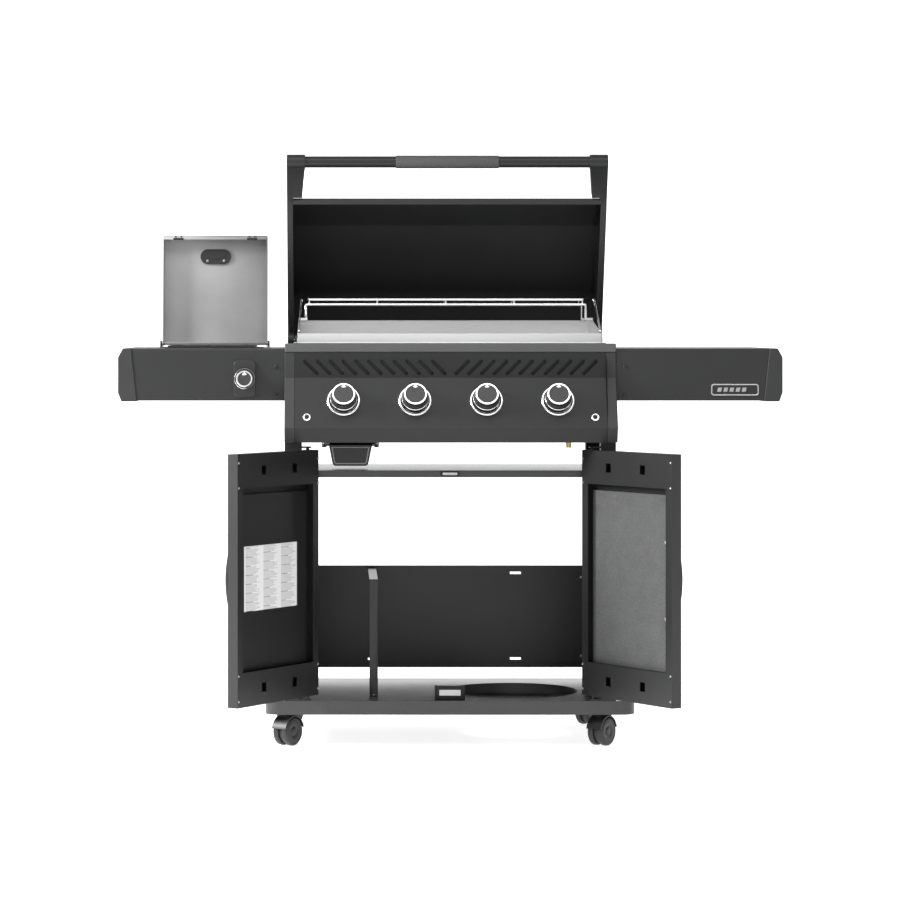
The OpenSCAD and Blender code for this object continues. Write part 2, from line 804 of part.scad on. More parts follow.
module side_lid() {
    t = 2;
    low = -4;
    x0 = side_x - side_lid_w / 2;
    x1 = side_x + side_lid_w / 2;
    y = side_hinge[0];
    z = side_hinge[1];
    color([0.62, 0.62, 0.63]) opened(side_hinge, side_lid_open) difference() {
        union() {
            block(x0, x1, y - side_lid_d, y - 2, z + low, z + low + side_lid_h);
            for (x = [x0, x1 - t]) rod_x(x, x + t, y, z, 7);
            for (x = [x0, x1 - t]) block(x, x + t, y - 10, y, z + low, z + 7);
        }
        block(x0 + t, x1 - t, y - side_lid_d + t, y - 2 - t, z + low - 1,
            z + low + side_lid_h - t);
        rod_x(x0 - 1, x1 + 1, y, z, side_pin_r + run_gap);
    }
}

module side_lid_handle() {
    y = side_hinge[0] - side_lid_d + 50;
    top = side_hinge[1] - 4 + side_lid_h;
    half = 48;
    rise = 26;
    color([0.08, 0.08, 0.08]) opened(side_hinge, side_lid_open) translate([side_x, y, top]) {
        for (s = [-1, 1]) block(s * half - 6, s * half + 6, -6, 6, 0, rise);
        rod_x(-half - 6, half + 6, 0, rise, 7);
        block(-20, 20, -19, 19, -8, -2);
        for (s = [-1, 1]) rod_z(-8, -2, s * 20, 0, 19);
    }
}

// ---- Doors ----

// The right-hand door, closed: its pin is at the origin and its free edge towards -X.
module door_pan() {
    h = door_z1 - door_z0;
    back = door_t - door_front;
    x0 = door_tail - door_w;
    stile = 24;
    boss = 9;
    hole_w = 20;
    hole_h = 22;
    difference() {
        union() {
            difference() {
                block(x0, door_tail, -door_front, back, door_z0, door_z1);
                block(x0 + sheet, door_tail - sheet, -door_front + sheet, back - sheet,
                    door_z0 + sheet, door_z1 - sheet);
                block(x0 + stile, door_tail - stile, 0, back + 1, door_z0 + strip_h,
                    door_z1 - strip_h);
            }
            for (z = [door_z0 + 1, door_z1 - 31]) intersection() {
                rod_z(z, z + 30, 0, 0, boss);
                block(-20, door_tail, -door_front, back, z, z + 30);
            }
        }
        for (fx = [0.32, 0.70], z = [door_z0 + strip_h / 2, door_z1 - strip_h / 2])
            block(x0 + fx * door_w - hole_w / 2, x0 + fx * door_w + hole_w / 2, back - 4,
                back + 1, z - hole_h / 2, z + hole_h / 2);
        rod_z(door_z0 - 1, door_z0 + 32, 0, 0, door_pin_r + run_gap);
        rod_z(door_z1 - 32, door_z1 + 1, 0, 0, door_pin_r + run_gap);
    }
    assert(h > 2 * strip_h);
}

// A flat bar that bows out of the door's face at mid-height.
module door_handle() {
    x = door_tail - door_w + 32;
    half_len = 110;
    bar_w = 14;
    bar_t = 7;
    bow_r = (half_len * half_len + grip_bow * grip_bow) / (2 * grip_bow);
    half_turn = asin(half_len / bow_r);
    intersection() {
        translate([x, bow_r - grip_bow - door_front, (door_z0 + door_z1) / 2]) rotate([0, 90, 0])
            rotate([0, 0, 270 - half_turn]) rotate_extrude(angle = 2 * half_turn)
                translate([bow_r - bar_t, -bar_w / 2]) square([bar_t, bar_w]);
        block(x - bar_w, x + bar_w, -door_front - grip_bow - 1, -door_front, door_z0, door_z1);
    }
}

// Swings a closed right-hand door piece out about its pin.
module swung() {
    translate([pin_x, pin_y, 0]) rotate([0, 0, door_open]) children();
}

module door_left() {
    color([0.24, 0.24, 0.25]) mirror([1, 0, 0]) swung() door_pan();
}

module door_right() {
    color([0.24, 0.24, 0.25]) swung() door_pan();
}

module door_handle_left() {
    color([0.70, 0.70, 0.71]) mirror([1, 0, 0]) swung() door_handle();
}

module door_handle_right() {
    color([0.70, 0.70, 0.71]) swung() door_handle();
}

// ---- Knobs ----

// A valve stem, with +Z outwards from the panel's face.
module stem() {
    color([0.70, 0.65, 0.45]) translate([0, 0, -24]) cylinder(h = stem_out + 24, r = stem_r);
}

module knob(r) {
    skirt_r = r + 5;
    floor_z = bezel_t + knob_gap;
    deep = stem_out - floor_z + 1;
    color([0.15, 0.15, 0.16]) translate([0, 0, floor_z]) difference() {
        union() {
            cylinder(h = 7, r = skirt_r);
            translate([0, 0, 6]) cylinder(h = knob_len - 6, r = r);
        }
        translate([0, 0, -1]) cylinder(h = deep + 1, r = stem_r + run_gap);
    }
}

module on_side_knob() {
    translate([side_knob_x, front_y, side_knob_z]) rotate([90, 0, 0]) children();
}

module stem_1() {
    on_knob(0) stem();
}

module stem_2() {
    on_knob(1) stem();
}

module stem_3() {
    on_knob(2) stem();
}

module stem_4() {
    on_knob(3) stem();
}

module side_stem() {
    on_side_knob() stem();
}

module knob_1() {
    on_knob(0) knob(knob_r);
}

module knob_2() {
    on_knob(1) knob(knob_r);
}

module knob_3() {
    on_knob(2) knob(knob_r);
}

module knob_4() {
    on_knob(3) knob(knob_r);
}

module side_knob() {
    on_side_knob() knob(side_knob_r);
}

// ---- Grease box ----

module grease_box() {
    t = 2;
    top = grease_w / 2;
    low = top - 10;
    z0 = grease_top - grease_h;
    corner_r = 9;
    color([0.18, 0.18, 0.18]) translate([drain_x, 0, 0]) difference() {
        union() {
            along_y(grease_y, grease_y + grease_d) polygon(rounded([[top, grease_top],
                [-top, grease_top], [-top, grease_top - 2], [-low, z0], [low, z0],
                [top, grease_top - 2]], [0, 0, 0, corner_r, corner_r, 0]));
            block(-top - grease_flange, top + grease_flange, grease_y, grease_y + grease_d,
                grease_top - 3, grease_top);
        }
        along_y(grease_y + t, grease_y + grease_d - t) polygon(rounded([
            [-top + t, grease_top + 1], [-low + t, z0 + t], [low - t, z0 + t],
            [top - t, grease_top + 1]], [0, corner_r - t, corner_r - t, 0]));
    }
}

// ---- Casters ----

// One caster frame, with its swivel axis at the origin and the wheel towards -Y.
module caster_frame() {
    hood_in = wheel_r + 1;
    hood_out = wheel_r + 4;
    half = tread_w + 5;
    web = 4;
    lift = 0.5;
    color([0.08, 0.08, 0.08]) {
        caster_frame_body(half, web, lift, hood_in, hood_out);
        rod_x(-axle_half, axle_half, -trail, wheel_r, axle_r);
    }
}

// The moulded hood, web and stem, cut clear of the wheels.
module caster_frame_body(half, web, lift, hood_in, hood_out) {
    difference() {
        union() {
            difference() {
                rod_x(-half, half, -trail, wheel_r, hood_out);
                rod_x(-half - 1, half + 1, -trail, wheel_r, hood_in);
                block(-half - 1, half + 1, -trail - 60, -trail + 60, -10, wheel_r + 8);
            }
            rod_x(-web, web, -trail, wheel_r, wheel_r - 6);
            block(-web, web, -trail, 8, wheel_r + 4, 2 * wheel_r);
            rod_z(2 * wheel_r - 6, caster_h - lift, 0, 0, 13);
            rod_z(caster_h - 4, caster_h + base_h - 8, 0, 0, caster_stem_r);
        }
        for (s = [-1, 1]) rod_x(min(s * (web + 0.5), s * (half - 0.5)),
            max(s * (web + 0.5), s * (half - 0.5)), -trail, wheel_r, wheel_r + 1);
    }
}

module caster_wheels() {
    inner = 5;
    color([0.17, 0.17, 0.17]) difference() {
        for (s = [-1, 1]) rod_x(min(s * inner, s * (inner + tread_w)),
            max(s * inner, s * (inner + tread_w)), -trail, wheel_r, wheel_r);
        rod_x(-axle_half - 1, axle_half + 1, -trail, wheel_r, axle_r + run_gap);
    }
}

module at_caster(x, y) {
    translate([x, y, 0]) rotate([0, 0, caster_turn]) children();
}

module caster_front_left() {
    at_caster(-caster_x, caster_front_y) caster_frame();
}

module caster_front_right() {
    at_caster(caster_x, caster_front_y) caster_frame();
}

module caster_rear_left() {
    at_caster(-caster_x, caster_rear_y) caster_frame();
}

module caster_rear_right() {
    at_caster(caster_x, caster_rear_y) caster_frame();
}

module wheel_front_left() {
    at_caster(-caster_x, caster_front_y) caster_wheels();
}

module wheel_front_right() {
    at_caster(caster_x, caster_front_y) caster_wheels();
}

module wheel_rear_left() {
    at_caster(-caster_x, caster_rear_y) caster_wheels();
}

module wheel_rear_right() {
    at_caster(caster_x, caster_rear_y) caster_wheels();
}

base_shelf();
side_panel_left();
side_panel_right();
rear_panel();
heat_shield();
tank_strap();
magnet_catches();
firebox();
front_rim();
control_panel();
end_cap_left();
end_cap_right();
knob_bezels();
gas_manifold();
burners();
heat_tents();
griddle();
warming_rack();
lid_pivots();
shelf_left();
shelf_left_cap();
shelf_right();
shelf_right_cap();
side_burner();
side_grate();
side_valve();
lid_skin();
lid_end_left();
lid_end_right();
lid_handle();
lid_grip();
lid_gauge();
side_lid();
side_lid_handle();
door_left();
door_right();
door_handle_left();
door_handle_right();
stem_1();
stem_2();
stem_3();
stem_4();
knob_1();
knob_2();
knob_3();
knob_4();
side_stem();
side_knob();
grease_box();
caster_front_left();
caster_front_right();
caster_rear_left();
caster_rear_right();
wheel_front_left();
wheel_front_right();
wheel_rear_left();
wheel_rear_right();
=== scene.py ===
"""A gas barbecue grill on a cabinet cart, standing open in a plain white studio."""

import json
import math

import bmesh
import bpy
from mathutils import Matrix, Vector


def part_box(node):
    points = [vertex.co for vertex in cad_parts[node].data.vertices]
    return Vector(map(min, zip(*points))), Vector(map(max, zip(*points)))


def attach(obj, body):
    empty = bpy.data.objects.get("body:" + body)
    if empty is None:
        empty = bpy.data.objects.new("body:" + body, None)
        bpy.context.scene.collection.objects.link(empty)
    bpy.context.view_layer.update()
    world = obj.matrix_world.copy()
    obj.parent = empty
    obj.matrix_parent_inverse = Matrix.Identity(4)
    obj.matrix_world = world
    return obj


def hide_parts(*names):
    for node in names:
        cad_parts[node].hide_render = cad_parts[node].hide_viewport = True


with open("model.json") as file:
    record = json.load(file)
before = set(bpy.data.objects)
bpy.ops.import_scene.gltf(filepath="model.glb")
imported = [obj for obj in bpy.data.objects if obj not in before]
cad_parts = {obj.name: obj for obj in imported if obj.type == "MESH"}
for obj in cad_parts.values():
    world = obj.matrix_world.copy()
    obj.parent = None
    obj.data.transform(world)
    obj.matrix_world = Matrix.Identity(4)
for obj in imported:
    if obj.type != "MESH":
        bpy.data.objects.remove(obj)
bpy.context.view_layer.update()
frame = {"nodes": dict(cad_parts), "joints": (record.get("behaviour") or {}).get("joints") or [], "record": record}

scene = bpy.context.scene
nodes = frame["nodes"]
joints = {joint["name"]: joint for joint in frame["joints"]}
MM = 0.001

# ---- Studio ----
# The camera stands square to the grill's front at chest height, a long way off, so that the
# shelves and the panel show no slant. Its shift puts the grill in the middle of the frame.
EYE = Vector((-0.282, -8.473, 1.031))
camera = bpy.data.objects.new("studio_camera", bpy.data.cameras.new("studio_camera"))
camera.location = EYE
camera.rotation_euler = (math.radians(90), 0, 0)
camera.data.lens = 136.07
camera.data.sensor_width = 36
camera.data.shift_x = 0.1278
camera.data.shift_y = -0.1389
camera.data.clip_end = 100
scene.collection.objects.link(camera)
scene.camera = camera
scene.view_settings.view_transform = "Standard"

world = bpy.data.worlds.new("white_room")
world.use_nodes = True
world.node_tree.nodes["Background"].inputs["Color"].default_value = (1, 1, 1, 1)
world.node_tree.nodes["Background"].inputs["Strength"].default_value = 0.5
scene.world = world


def softbox(name, place, aim, size, watts):
    """A square area light at place, turned to shine on aim."""
    lamp = bpy.data.lights.new(name, "AREA")
    lamp.shape = "RECTANGLE"
    lamp.size, lamp.size_y = size
    lamp.energy = watts
    holder = bpy.data.objects.new(name, lamp)
    holder.location = place
    holder.rotation_euler = (Vector(aim) - Vector(place)).to_track_quat("-Z", "Y").to_euler()
    scene.collection.objects.link(holder)


softbox("overhead_box", (-0.5, -1.9, 3.5), (0, 0, 0.9), (3.4, 1.5), 60)
softbox("left_box", (-3.3, -1.0, 2.1), (-0.2, -0.3, 0.9), (0.8, 1.2), 200)
softbox("front_box", (-0.6, -5.5, 1.6), (0, 0, 0.6), (2.5, 2.0), 10)

# The floor is a wide pale sheet that curves up behind the grill.
floor_mesh = bpy.data.meshes.new("studio_floor")
sweep = [(-12.0, 0.0), (4.0, 0.0)]
sweep += [(4.0 + 3 * math.sin(a), 3 - 3 * math.cos(a)) for a in (0.2 * i for i in range(1, 8))]
sweep += [(7.05, 9.0)]
floor_mesh.from_pydata(
    [(x, y, z) for y, z in sweep for x in (-14, 14)], [],
    [(2 * i, 2 * i + 1, 2 * i + 3, 2 * i + 2) for i in range(len(sweep) - 1)])
floor = bpy.data.objects.new("studio_floor", floor_mesh)
floor_paint = bpy.data.materials.new("studio_paper")
floor_paint.use_nodes = True
floor_paint.node_tree.nodes["Principled BSDF"].inputs["Base Color"].default_value = (
    0.97, 0.97, 0.97, 1)
floor_paint.node_tree.nodes["Principled BSDF"].inputs["Emission Color"].default_value = (
    1, 1, 1, 1)
floor_paint.node_tree.nodes["Principled BSDF"].inputs["Emission Strength"].default_value = 0.8
floor_paint.node_tree.nodes["Principled BSDF"].inputs["Roughness"].default_value = 0.9
floor_mesh.materials.append(floor_paint)
floor_mesh.shade_smooth()
scene.collection.objects.link(floor)

# ---- Base shelf ----
# A folded steel pan with a skirt all round and a pressed recess for the gas cylinder,
# powder coated a fine-textured charcoal.
class Wire:
    """One shader socket. Arithmetic on it adds Math nodes to its material."""

    def __init__(self, tree, socket=None):
        self.tree, self.socket = tree, socket

    def node(self, kind, settings=None, out=0, **values):
        """Adds a node: settings first, then each input, named, or i0, i1 by its place."""
        made = self.tree.nodes.new(kind)
        for name, value in (settings or {}).items():
            if name == "stops":
                ramp = made.color_ramp.elements
                while len(ramp) < len(value):
                    ramp.new(0.5)
                for element, (place, tone) in zip(ramp, value):
                    element.position, element.color = place, (tone, tone, tone, 1)
            else:
                setattr(made, name, value)
        for name, value in values.items():
            by_place = name[0] == "i" and name[1:].isdigit()
            socket = made.inputs[int(name[1:]) if by_place else name.replace("_", " ")]
            if isinstance(value, Wire):
                self.tree.links.new(value.socket, socket)
            else:
                socket.default_value = value
        return Wire(self.tree, made.outputs[out])

    def math(self, operation, first, second=0.0):
        return self.node("ShaderNodeMath", {"operation": operation}, i0=first, i1=second)

    def __add__(self, other):
        return self.math("ADD", self, other)

    def __sub__(self, other):
        return self.math("SUBTRACT", self, other)

    def __mul__(self, other):
        return self.math("MULTIPLY", self, other)

    def __rsub__(self, other):
        return self.math("SUBTRACT", other, self)

    __radd__ = __add__
    __rmul__ = __mul__

    def mix(self, dark, light):
        """The colour that goes from dark to light as this socket goes from 0 to 1."""
        return self.node("ShaderNodeMix", {"data_type": "RGBA"}, 2, i0=self, i6=dark, i7=light)

    def place(self, stretch=(1, 1, 1)):
        """Where the point is on its own piece, in metres, scaled by stretch."""
        spot = self.node("ShaderNodeTexCoord", out=3)
        return self.node("ShaderNodeVectorMath", {"operation": "MULTIPLY"}, i0=spot, i1=stretch)

    def noise(self, scale, detail=2.0, stretch=(1, 1, 1)):
        return self.node("ShaderNodeTexNoise", Vector=self.place(stretch), Scale=scale,
                         Detail=detail)

    def bump(self, strength, depth, height):
        return self.node("ShaderNodeBump", Strength=strength, Distance=depth, Height=height)

    def steps(self, *stops):
        """This socket sent through a ramp of (place, tone) stops."""
        return self.node("ShaderNodeValToRGB", {"stops": stops}, Fac=self)


def surface(name, metallic=0.0, shine=0.3):
    """A new material, a Wire to start its nodes from, and a function that feeds its shader."""
    material = bpy.data.materials.new(name)
    material.use_nodes = True
    shader = material.node_tree.nodes["Principled BSDF"]
    shader.inputs["Metallic"].default_value = metallic
    shader.inputs["Specular IOR Level"].default_value = shine

    def feed(**inputs):
        for socket, wire in inputs.items():
            material.node_tree.links.new(wire.socket, shader.inputs[socket.replace("_", " ")])

    return material, Wire(material.node_tree), feed


def grey(tone, warmth=0.0):
    """A neutral colour of that linear tone; warmth leans it from blue to red."""
    return (tone * (1 + warmth), tone, tone * (1 - warmth), 1)


def powder_coat(name, tone, rough=0.42, grain=1400, relief=0.00018, shine=0.3):
    """Baked powder paint: a fine orange-peel grain, faint clouding, and paler sharp edges that are partly rubbed
    wear and partly a painted highlight.
    """
    material, wire, feed = surface(name, 0.0, shine)
    cloud = wire.noise(5, 3)
    grains = wire.noise(grain, 2)
    # Sharp convex edges are painted paler: partly rubbed paint, partly a painted highlight where light catches
    # them.
    edge = wire.node("ShaderNodeNewGeometry", out=7).steps((0.50, 0), (0.56, 1))
    speck = grains.steps((0.40, 0), (0.68, 1))
    mixed = cloud * 0.35 + speck * 0.35 + edge * 0.45
    feed(Base_Color=mixed.mix(grey(tone * 0.78, -0.01), grey(tone * 1.42, -0.015)),
         Roughness=grains * 0.14 + (rough - 0.07) + cloud * 0.06,
         Normal=wire.bump(0.35, relief, grains))
    return material


home = {node: body for body, group in frame["record"]["behaviour"]["bodies"].items()
        for node in group}
slot_of = {row["node"]: row["material_slot"] for row in frame["record"]["subparts"]}


def settle(piece, material, body, slot, *replaced):
    """Puts a finished piece in the scene on its body, in place of any CAD nodes named."""
    piece.data.materials.clear()
    piece.data.materials.append(material)
    scene.collection.objects.link(piece)
    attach(piece, body)
    if replaced:
        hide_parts(*replaced)
    return piece


def smooth(piece, width, segments=2, angle=28):
    """Shades a piece smooth and rounds its sharp edges."""
    piece.data.shade_smooth()
    piece.data.set_sharp_from_angle(angle=math.radians(angle))
    if width:
        rounder = piece.modifiers.new("rounded_edges", "BEVEL")
        rounder.width = width
        rounder.segments = segments
        rounder.limit_method = "ANGLE"
        rounder.angle_limit = math.radians(angle)
        rounder.harden_normals = True
        rounder.use_clamp_overlap = True
    return piece


def eased(node, material, width=0.0008, segments=2, angle=28):
    """Stands for a CAD node with the same shape, its edges rounded as real sheet and castings are."""
    shape = bmesh.new()
    shape.from_mesh(nodes[node].data)
    bmesh.ops.remove_doubles(shape, verts=shape.verts, dist=2e-6)
    bmesh.ops.dissolve_limit(shape, angle_limit=math.radians(0.6), verts=shape.verts,
                             edges=shape.edges)
    mesh = bpy.data.meshes.new(node + "_shell")
    shape.to_mesh(mesh)
    shape.free()
    piece = bpy.data.objects.new(node + "_shell", mesh)
    settle(piece, material, home[node], slot_of[node], node)
    return smooth(piece, width, segments, angle)


def finish(name, shape, material, body, slot, *replaced, width=0.0, segments=2, angle=28):
    """Closes a bmesh into a piece on its body, with its sharp edges rounded by width."""
    bmesh.ops.recalc_face_normals(shape, faces=shape.faces)
    mesh = bpy.data.meshes.new(name)
    shape.to_mesh(mesh)
    shape.free()
    piece = bpy.data.objects.new(name, mesh)
    settle(piece, material, body, slot, *replaced)
    return smooth(piece, width, segments, angle)


def lathe(shape, where, profile, turns=32, flutes=0):
    """Turns a profile of (radius, height, flute depth) in mm about where's Z axis."""
    rings = []
    for radius, height, *flute in profile:
        depth = flute[0] if flute else 0
        count = turns if radius else 1
        ring = []
        for i in range(count):
            turn = math.tau * i / count
            out = radius - depth * (0.5 - 0.5 * math.cos(flutes * turn))
            spot = Vector((out * math.cos(turn), out * math.sin(turn), height)) * MM
            ring.append(shape.verts.new(where @ spot))
        rings.append(ring)
    for low, high in zip(rings, rings[1:]):
        for i in range(turns):
            j = (i + 1) % turns
            corners = [low[i % len(low)], low[j % len(low)], high[j % len(high)],
                       high[i % len(high)]]
            corners = list(dict.fromkeys(corners))
            if len(corners) > 2:
                shape.faces.new(corners)


def prism(shape, where, outline, low, high):
    """Stands an outline of (x, y) points in mm up from low to high along where's Z axis."""
    floors = [[shape.verts.new(where @ (Vector((x, y, z)) * MM)) for x, y in outline]
              for z in (low, high)]
    shape.faces.new(floors[0][::-1])
    shape.faces.new(floors[1])
    for i in range(len(outline)):
        j = (i + 1) % len(outline)
        shape.faces.new((floors[0][i], floors[0][j], floors[1][j], floors[1][i]))


def rounded_box(x0, x1, y0, y1, radius, steps=5):
    """The outline in mm of a rectangle with round corners."""
    corners = ((x1, y1, 0), (x0, y1, 90), (x0, y0, 180), (x1, y0, 270))
    outline = []
    for x, y, start in corners:
        middle = (x - math.copysign(radius, x - (x0 + x1) / 2),
                  y - math.copysign(radius, y - (y0 + y1) / 2))
        for i in range(steps + 1):
            turn = math.radians(start + 90 * i / steps)
            outline.append((middle[0] + radius * math.cos(turn),
                            middle[1] + radius * math.sin(turn)))
    return outline


def facing(place, out, up=(0, 0, 1)):
    """A frame at place, in metres, whose Z axis points out and whose Y axis leans to up."""
    z = Vector(out).normalized()
    x = Vector(up).cross(z).normalized()
    turn = Matrix((x, z.cross(x), z)).transposed().to_4x4()
    return Matrix.Translation(place) @ turn


def screw_heads(name, spots, material, body, slot, radius=4.0):
    """Pan-head screws with a hexagon socket, one at each frame in spots."""
    shape = bmesh.new()
    for spot in spots:
        lathe(shape, spot, [(0, -1), (radius * 0.5, -1), (radius * 0.5, 0), (radius, 0),
                            (radius, radius * 0.25), (radius * 0.8, radius * 0.55),
                            (radius * 0.5, radius * 0.65), (radius * 0.45, radius * 0.2),
                            (0, radius * 0.2)], 18)
    return finish(name, shape, material, body, slot, angle=35)


charcoal = powder_coat("charcoal_powder", 0.013)
base_paint = powder_coat("base_powder", 0.026, 0.26, shine=0.5)
eased("base_shelf", base_paint, 0.0025, 3)
# The near-black ring lining the cylinder recess, lip and wall, is painted shade for the shadowed inside of the
# recess.
well_shade_lining = bmesh.new()
well = frame["record"]["mounts"][0]
lathe(well_shade_lining, Matrix.Translation(Vector(well["pos_m"])),
      [(159.4, 14), (163.5, 14), (163.5, 15), (160.6, 15.6), (159.0, 14.6), (158.8, -13),
       (159.4, -13), (159.4, 14)], 96)
black_paint = powder_coat("black_paint", 0.010, 0.35, shine=0.4)
finish("well_shade_lining", well_shade_lining, black_paint, "root", "black_paint", angle=40)

# ---- Side panels and heat shield ----
# Two folded side panels carry the hearth and the doors; the shield under the burners keeps
# their heat off the cylinder. Everything is screwed together through the folded posts.
eased("side_panel_left", charcoal)
eased("side_panel_right", charcoal)
eased("heat_shield", base_paint)
zinc, wire, feed = surface("zinc_plate", 1.0)
dull = wire.noise(60, 4)
feed(Base_Color=dull.mix(grey(0.30), grey(0.55)), Roughness=dull * 0.2 + 0.3)
low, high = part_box("side_panel_right")
for side, name in ((-1, "left"), (1, "right")):
    spots = [facing((side * high[0], y, z), (side, 0, 0))
             for y in (low[1] + 0.02, high[1] - 0.02)
             for z in (low[2] + 0.03, low[2] + 0.31, low[2] + 0.6)]
    screw_heads("side_screws_" + name, spots, zinc, "root", "galvanised")

# ---- Rear panel, cylinder strap and catches ----
# The low rear panel is one sheet with stiffening folds. The strap holds the cylinder upright,
# and the moulded catches hold the doors shut by the magnets behind their zinc plates.
low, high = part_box("rear_panel")
eased("rear_panel", black_paint)
eased("tank_strap", black_paint, 0.0006)
spots = [facing((x, low[1], z), (0, -1, 0)) for x in (low[0] + 0.012, high[0] - 0.012)
         for z in (low[2] + 0.03, high[2] - 0.03)]
strap_low, strap_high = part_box("tank_strap")
strap_x = (strap_low[0] + strap_high[0]) / 2
spots += [facing((strap_x, strap_low[1] + 0.008, strap_low[2] + 0.003), (0, 0, 1), (0, 1, 0))]
screw_heads("rear_screws", spots, zinc, "root", "galvanised", 3.2)
rubber = powder_coat("black_rubber", 0.009, 0.6, 700, 0.0001)
eased("magnet_catches", rubber, 0.0012, 3)
catch_low, catch_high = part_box("magnet_catches")
magnets = bmesh.new()
for z, half_x, half_z in ((catch_low[2] + 0.017, 26, 7), (catch_high[2] - 0.005, 18, 3)):
    prism(magnets, facing((0, catch_low[1], z), (0, -1, 0)),
          rounded_box(-half_x, half_x, -half_z, half_z, 1.2), 0, 0.35)
finish("catch_plates", magnets, zinc, "root", "galvanised")

# ---- Casters ----
# Each hooded frame is moulded in one piece round a steel stem. Its twin wheels have a rolled
# tread, a dished outer face and a hub button, all of hard black plastic.
moulded = powder_coat("moulded_black", 0.008, 0.38, 500, 0.00005, 0.5)
tread = powder_coat("tread_plastic", 0.014, 0.42, 700, 0.00008, 0.5)
for corner in ("front_left", "front_right", "rear_left", "rear_right"):
    eased("caster_" + corner, moulded, 0.0012)
    roll = joints[f"wheel_{corner}_roll"]
    hub = facing(roll["pos_m"], roll["axis"])
    rolling_r = roll["pos_m"][2] / MM
    wheels = bmesh.new()
    for side in (-1, 1):
        face = hub @ Matrix.Diagonal((1, 1, side, 1))
        lathe(wheels, face, [
            (4.4, 15), (4.4, 5), (rolling_r - 6, 5), (rolling_r - 2.4, 5.6),
            (rolling_r - 0.4, 8), (rolling_r, 10.5), (rolling_r, 15.5),
            (rolling_r - 0.5, 18.2), (rolling_r - 2.6, 20.4), (rolling_r - 5, 21),
            (rolling_r - 6, 20), (rolling_r - 7, 20), (rolling_r - 8.5, 20.6), (12, 19.0),
            (11, 18.4), (10, 19.6), (8, 20.4), (0, 20.6)], 64)
    finish("wheels_" + corner, wheels, tread, "wheel_" + corner, slot_of["wheel_" + corner],
           "wheel_" + corner, angle=38)
    socket = bmesh.new()
    stem = joints[f"caster_{corner}_swivel"]["pos_m"]
    lathe(socket, Matrix.Translation(Vector(stem)),
          [(6, -3.5), (12.4, -3.5), (13.4, -2.6), (13.4, -1.2), (12.6, -0.6), (6, -0.6),
           (6, -3.5)], 32)
    finish("swivel_ring_" + corner, socket, zinc, "caster_" + corner, "galvanised", angle=40)

# ---- Firebox and gas train ----
# The firebox is porcelain-enamelled steel. Brass valves on a steel pipe feed four straight
# tube burners with two rows of ports, and a folded steel tent lies over each burner.
enamel = powder_coat("black_enamel", 0.008, 0.3, 300, 0.00006, 0.5)
eased("firebox", enamel)
brass, wire, feed = surface("brass_fittings", 1.0)
tarnish = wire.noise(90, 3)
feed(Base_Color=tarnish.mix((0.30, 0.22, 0.09, 1), (0.62, 0.48, 0.22, 1)),
     Roughness=tarnish * 0.3 + 0.2)
eased("gas_manifold", brass)
burner_steel, wire, feed = surface("heated_steel", 1.0)
stain = wire.noise(22, 4)
feed(Base_Color=stain.mix((0.22, 0.19, 0.16, 1), (0.52, 0.50, 0.48, 1)),
     Roughness=stain * 0.25 + 0.3)
eased("burners", burner_steel)
eased("heat_tents", burner_steel)
burner_low, burner_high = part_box("burners")
knob_places = [joints[f"knob_{i}_turn"]["pos_m"] for i in range(1, 5)]
burner_r = (burner_high[2] - burner_low[2]) / 2 / MM
ports = bmesh.new()
for x, _, _ in knob_places:
    for step in range(26):
        y = burner_low[1] + 0.05 + step * 0.0145
        for lean in (-50, 50):
            out = Vector((math.sin(math.radians(lean)), 0, math.cos(math.radians(lean))))
            middle = Vector((x, y, (burner_low[2] + burner_high[2]) / 2))
            lathe(ports, facing(middle + out * (burner_r + 0.05) * MM, out, (0, 1, 0)),
                  [(1.5, -0.4), (1.5, 0), (0.9, 0.02), (0, -0.3)], 8)
finish("burner_ports", ports, black_paint, "root", "burner_steel", angle=30)
for i in range(1, 5):
    eased(f"stem_{i}", zinc, 0.0004)
eased("side_stem", zinc, 0.0004)

# ---- Griddle tray and warming rack ----
# The griddle is a welded tray of brushed stainless steel with a rolled front lip, a drain at
# the left and two flat stays. The rack over it is bent from bright wire.


def brushed(name, low, high, stretch, rough=0.28):
    """Steel with a fine directional brushing along the axis that stretch leaves short."""
    material, wire, feed = surface(name, 1.0)
    lines = wire.noise(900, 2, stretch)
    bands = wire.noise(30, 3, stretch)
    cloud = wire.noise(4, 3)
    mixed = lines * 0.45 + bands * 0.35 + cloud * 0.2
    feed(Base_Color=mixed.mix(grey(low), grey(high)), Roughness=lines * 0.2 + rough,
         Normal=wire.bump(0.25, 0.00008, lines))
    return material


def tube(shape, path, radius, sides=10):
    """A round rod in mm along a list of points in metres, with closed ends."""
    across = None
    rings = []
    for i, spot in enumerate(path):
        along = (path[min(i + 1, len(path) - 1)] - path[max(i - 1, 0)]).normalized()
        across = along.orthogonal() if across is None else across - along * across.dot(along)
        across.normalize()
        over = along.cross(across)
        rings.append([shape.verts.new(spot + (across * math.cos(t) + over * math.sin(t))
                                      * radius * MM)
                      for t in (math.tau * k / sides for k in range(sides))])
    for low, high in zip(rings, rings[1:]):
        for k in range(sides):
            shape.faces.new((low[k], low[(k + 1) % sides], high[(k + 1) % sides], high[k]))
    shape.faces.new(rings[0][::-1])
    shape.faces.new(rings[-1])


